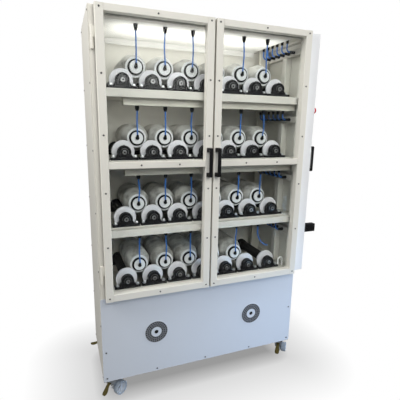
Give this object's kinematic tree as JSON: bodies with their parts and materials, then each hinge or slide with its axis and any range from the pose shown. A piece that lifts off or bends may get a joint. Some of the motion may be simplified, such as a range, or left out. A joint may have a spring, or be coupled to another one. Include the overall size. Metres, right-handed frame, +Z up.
{
  "type": "filament drying cabinet",
  "caption": "Floor-standing glazed two-door cabinet on braked castors, with tiers of driven rollers that turn sealed drums of filament under dry-air lines.",
  "frame": {"origin": "centre of the bounding box footprint, at the floor under the castor wheels", "axes": "+X to the right seen from the doors, +Y from the doors to the back, +Z up"},
  "size_m": [1.44, 0.586, 2.13],
  "materials": {
    "paint": "warm white powder coat, semi-matt",
    "inner_paint": "warm white powder coat, semi-matt",
    "cool_paint": "cool white powder coat, semi-matt",
    "black_casting": "black stove enamel",
    "roller": "rubber sleeve, white guide disc and steel shaft",
    "drum": "translucent white, black collar",
    "black_plastic": "moulded black, satin",
    "blue_tube": "blue polyurethane",
    "white_hose": "white hose",
    "motor": "cast aluminium",
    "casing": "grey sheet metal",
    "belt_rubber": "matt black rubber",
    "glass": "clear, polished edges hidden in the frame",
    "stop_red": "glossy red",
    "zinc": "zinc plated",
    "castor_tread": "grey-blue wheel",
    "brake_brass": "yellow passivated steel"
  },
  "bodies": {
    "root": {"uprights": "inner_paint", "frame_rails": "paint", "tier_trays": "inner_paint", "left_side_panel": "paint", "right_side_panel": "paint", "back_panel": "paint", "top_panel": "paint", "base_panel": "paint", "lower_front_panel": "cool_paint", "vent_grilles": "cool_paint", "bearing_blocks": "black_casting", "upper_rollers": "roller", "upper_drums": "drum", "rotary_unions": "black_plastic", "air_channels": "inner_paint", "push_in_fittings": "black_plastic", "air_tubes": "blue_tube", "spare_tube": "blue_tube", "drain_hose": "white_hose", "gear_motors": "motor", "drive_belts": "belt_rubber", "door_seals": "belt_rubber", "hinge_bases": "paint", "castor_plates": "zinc", "air_dryer": "casing", "control_box": "casing"},
    "left_door": {"left_door_frame": "paint", "left_door_glass": "glass", "left_door_handle": "black_plastic"},
    "right_door": {"right_door_frame": "paint", "right_door_glass": "glass", "right_door_handle": "black_plastic"},
    "service_cover": {"side_cover": "cool_paint", "side_cover_handle": "black_plastic", "power_inlet": "black_plastic"},
    "stop_button_head": {"stop_button": "stop_red"},
    "spin_roller_1": {"roller_1": "roller"},
    "spin_roller_2": {"roller_2": "roller"},
    "spin_roller_3": {"roller_3": "roller"},
    "spin_roller_4": {"roller_4": "roller"},
    "spin_roller_5": {"roller_5": "roller"},
    "spin_roller_6": {"roller_6": "roller"},
    "spin_roller_7": {"roller_7": "roller"},
    "spin_drum_1": {"drum_1": "drum"},
    "spin_drum_2": {"drum_2": "drum"},
    "spin_drum_3": {"drum_3": "drum"},
    "spin_drum_4": {"drum_4": "drum"},
    "spin_drum_5": {"drum_5": "drum"},
    "front_left_castor": {"front_left_castor_fork": "zinc"},
    "front_left_wheel": {"front_left_castor_wheel": "castor_tread"},
    "front_left_pedal": {"front_left_castor_pedal": "brake_brass"},
    "front_right_castor": {"front_right_castor_fork": "zinc"},
    "front_right_wheel": {"front_right_castor_wheel": "castor_tread"},
    "front_right_pedal": {"front_right_castor_pedal": "brake_brass"},
    "rear_left_castor": {"rear_left_castor_fork": "zinc"},
    "rear_left_wheel": {"rear_left_castor_wheel": "castor_tread"},
    "rear_left_pedal": {"rear_left_castor_pedal": "brake_brass"},
    "rear_right_castor": {"rear_right_castor_fork": "zinc"},
    "rear_right_wheel": {"rear_right_castor_wheel": "castor_tread"},
    "rear_right_pedal": {"rear_right_castor_pedal": "brake_brass"}
  },
  "joints": [
    {"name": "left_door_hinge", "type": "hinge", "parent": "root", "child": "left_door", "pos_m": [-0.676, -0.215, 1.39], "axis": [0, 0, -1], "range_deg": [0, 110]},
    {"name": "right_door_hinge", "type": "hinge", "parent": "root", "child": "right_door", "pos_m": [0.55, -0.215, 1.39], "axis": [0, 0, 1], "range_deg": [0, 110]},
    {"name": "service_cover_hinge", "type": "hinge", "parent": "root", "child": "service_cover", "pos_m": [0.572, 0.285, 1.39], "axis": [0, 0, 1], "range_deg": [0, 110]},
    {"name": "stop_button_press", "type": "slide", "parent": "service_cover", "child": "stop_button_head", "axis": [-1, 0, 0], "range_m": [0, 0.004], "stiffness_N_per_m": 900},
    {"name": "roller_1_spin", "type": "hinge", "parent": "root", "child": "spin_roller_1", "pos_m": [-0.528, 0.047, 0.7115], "axis": [0, 1, 0], "continuous": true},
    {"name": "roller_2_spin", "type": "hinge", "parent": "root", "child": "spin_roller_2", "pos_m": [-0.373, 0.047, 0.7115], "axis": [0, 1, 0], "continuous": true},
    {"name": "roller_3_spin", "type": "hinge", "parent": "root", "child": "spin_roller_3", "pos_m": [-0.218, 0.047, 0.7115], "axis": [0, 1, 0], "continuous": true},
    {"name": "roller_4_spin", "type": "hinge", "parent": "root", "child": "spin_roller_4", "pos_m": [-0.063, 0.047, 0.7115], "axis": [0, 1, 0], "continuous": true},
    {"name": "roller_5_spin", "type": "hinge", "parent": "root", "child": "spin_roller_5", "pos_m": [0.092, 0.047, 0.7115], "axis": [0, 1, 0], "continuous": true},
    {"name": "roller_6_spin", "type": "hinge", "parent": "root", "child": "spin_roller_6", "pos_m": [0.247, 0.047, 0.7115], "axis": [0, 1, 0], "continuous": true},
    {"name": "roller_7_spin", "type": "hinge", "parent": "root", "child": "spin_roller_7", "pos_m": [0.402, 0.047, 0.7115], "axis": [0, 1, 0], "continuous": true},
    {"name": "drum_1_spin", "type": "hinge", "parent": "root", "child": "spin_drum_1", "pos_m": [-0.4505, 0.047, 0.78426], "axis": [0, 1, 0], "continuous": true},
    {"name": "drum_2_spin", "type": "hinge", "parent": "root", "child": "spin_drum_2", "pos_m": [-0.2955, 0.047, 0.78426], "axis": [0, 1, 0], "continuous": true},
    {"name": "drum_3_spin", "type": "hinge", "parent": "root", "child": "spin_drum_3", "pos_m": [-0.1405, 0.047, 0.78426], "axis": [0, 1, 0], "continuous": true},
    {"name": "drum_4_spin", "type": "hinge", "parent": "root", "child": "spin_drum_4", "pos_m": [0.0145, 0.047, 0.78426], "axis": [0, 1, 0], "continuous": true},
    {"name": "drum_5_spin", "type": "hinge", "parent": "root", "child": "spin_drum_5", "pos_m": [0.1695, 0.047, 0.78426], "axis": [0, 1, 0], "continuous": true},
    {"name": "front_left_castor_swivel", "type": "hinge", "parent": "root", "child": "front_left_castor", "pos_m": [-0.638, -0.165, 0.1], "axis": [0, 0, 1], "continuous": true},
    {"name": "front_left_wheel_roll", "type": "hinge", "parent": "front_left_castor", "child": "front_left_wheel", "pos_m": [-0.60851, -0.14435, 0.05], "axis": [-0.5736, 0.8192, 0], "continuous": true},
    {"name": "front_left_brake_pedal", "type": "hinge", "parent": "front_left_castor", "child": "front_left_pedal", "pos_m": [-0.65438, -0.17647, 0.1005], "axis": [-0.5736, 0.8192, 0], "range_deg": [0, 45]},
    {"name": "front_right_castor_swivel", "type": "hinge", "parent": "root", "child": "front_right_castor", "pos_m": [0.512, -0.165, 0.1], "axis": [0, 0, 1], "continuous": true},
    {"name": "front_right_wheel_roll", "type": "hinge", "parent": "front_right_castor", "child": "front_right_wheel", "pos_m": [0.53514, -0.13742, 0.05], "axis": [-0.766, 0.6428, 0], "continuous": true},
    {"name": "front_right_brake_pedal", "type": "hinge", "parent": "front_right_castor", "child": "front_right_pedal", "pos_m": [0.49914, -0.18032, 0.1005], "axis": [-0.766, 0.6428, 0], "range_deg": [0, 40]},
    {"name": "rear_left_castor_swivel", "type": "hinge", "parent": "root", "child": "rear_left_castor", "pos_m": [-0.638, 0.254, 0.1], "axis": [0, 0, 1], "continuous": true},
    {"name": "rear_left_wheel_roll", "type": "hinge", "parent": "rear_left_castor", "child": "rear_left_wheel", "pos_m": [-0.602, 0.254, 0.05], "axis": [0, 1, 0], "continuous": true},
    {"name": "rear_left_brake_pedal", "type": "hinge", "parent": "rear_left_castor", "child": "rear_left_pedal", "pos_m": [-0.658, 0.254, 0.1005], "axis": [0, 1, 0], "range_deg": [-45, 0]},
    {"name": "rear_right_castor_swivel", "type": "hinge", "parent": "root", "child": "rear_right_castor", "pos_m": [0.512, 0.254, 0.1], "axis": [0, 0, 1], "continuous": true},
    {"name": "rear_right_wheel_roll", "type": "hinge", "parent": "rear_right_castor", "child": "rear_right_wheel", "pos_m": [0.476, 0.254, 0.05], "axis": [0, -1, 0], "continuous": true},
    {"name": "rear_right_brake_pedal", "type": "hinge", "parent": "rear_right_castor", "child": "rear_right_pedal", "pos_m": [0.532, 0.254, 0.1005], "axis": [0, -1, 0], "range_deg": [-45, 0]}
  ],
  "couplings": [
    {"joint": "roller_2_spin", "follows": "roller_1_spin", "ratio": 1},
    {"joint": "roller_3_spin", "follows": "roller_1_spin", "ratio": 1},
    {"joint": "roller_4_spin", "follows": "roller_1_spin", "ratio": 1},
    {"joint": "roller_5_spin", "follows": "roller_1_spin", "ratio": 1},
    {"joint": "roller_6_spin", "follows": "roller_1_spin", "ratio": 1},
    {"joint": "roller_7_spin", "follows": "roller_1_spin", "ratio": 1},
    {"joint": "drum_1_spin", "follows": "roller_1_spin", "ratio": -0.41333},
    {"joint": "drum_2_spin", "follows": "roller_1_spin", "ratio": -0.41333},
    {"joint": "drum_3_spin", "follows": "roller_1_spin", "ratio": -0.41333},
    {"joint": "drum_4_spin", "follows": "roller_1_spin", "ratio": -0.41333},
    {"joint": "drum_5_spin", "follows": "roller_1_spin", "ratio": -0.41333}
  ]
}
